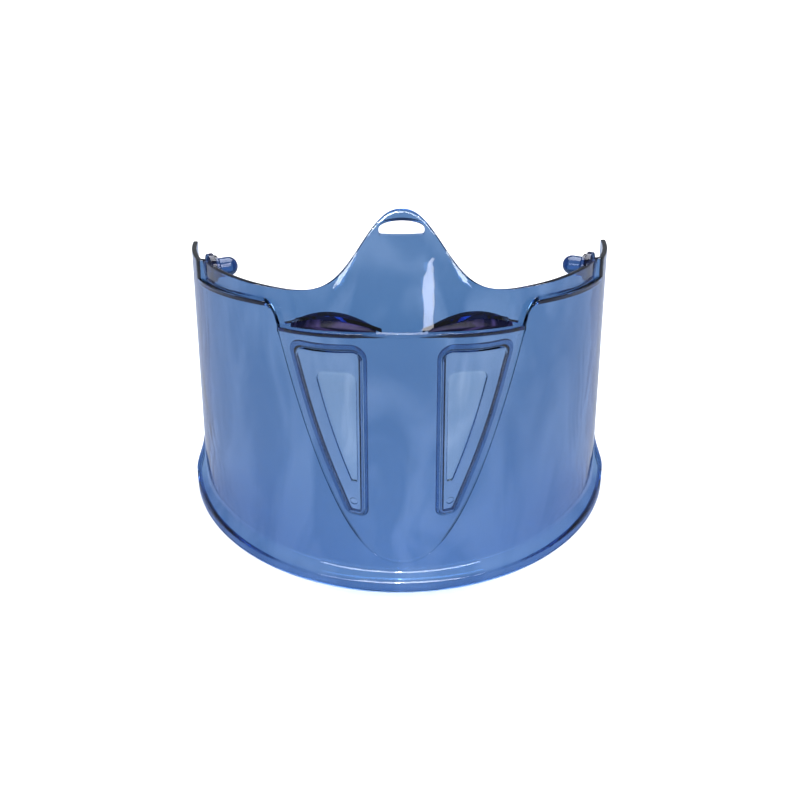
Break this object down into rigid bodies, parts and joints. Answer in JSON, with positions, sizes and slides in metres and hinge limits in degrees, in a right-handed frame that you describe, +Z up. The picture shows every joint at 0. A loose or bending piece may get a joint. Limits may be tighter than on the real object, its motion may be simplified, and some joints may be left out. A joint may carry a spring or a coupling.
{
  "type": "lower face shield",
  "caption": "Clear blue wrap-round lower face shield with a raised nose, dark brow seals, vent covers let into the muzzle, a stepped bottom rim and studs that clip it to goggles.",
  "frame": {"origin": "middle of the bounding box in plan, at the level of the bottom rim", "axes": "+Z up, -Y out of the front of the muzzle, +X to the right of someone looking at the front"},
  "size_m": [0.17, 0.096, 0.146],
  "materials": {
    "shell": "clear polished moulding",
    "cover": "clear polished moulding",
    "stud": "clear moulded",
    "seal": "dark glossy elastomer"
  },
  "bodies": {
    "shield": {"shield_shell": "shell", "left_brow_seal": "seal", "right_brow_seal": "seal", "left_side_stud": "stud", "right_side_stud": "stud"},
    "left_cover": {"left_vent_cover": "cover"},
    "right_cover": {"right_vent_cover": "cover"}
  },
  "joints": [
    {"name": "left_cover_push_out", "type": "slide", "parent": "shield", "child": "left_cover", "axis": [0, 1, 0], "range_m": [0, 0.015]},
    {"name": "right_cover_push_out", "type": "slide", "parent": "shield", "child": "right_cover", "axis": [0, 1, 0], "range_m": [0, 0.015]}
  ]
}
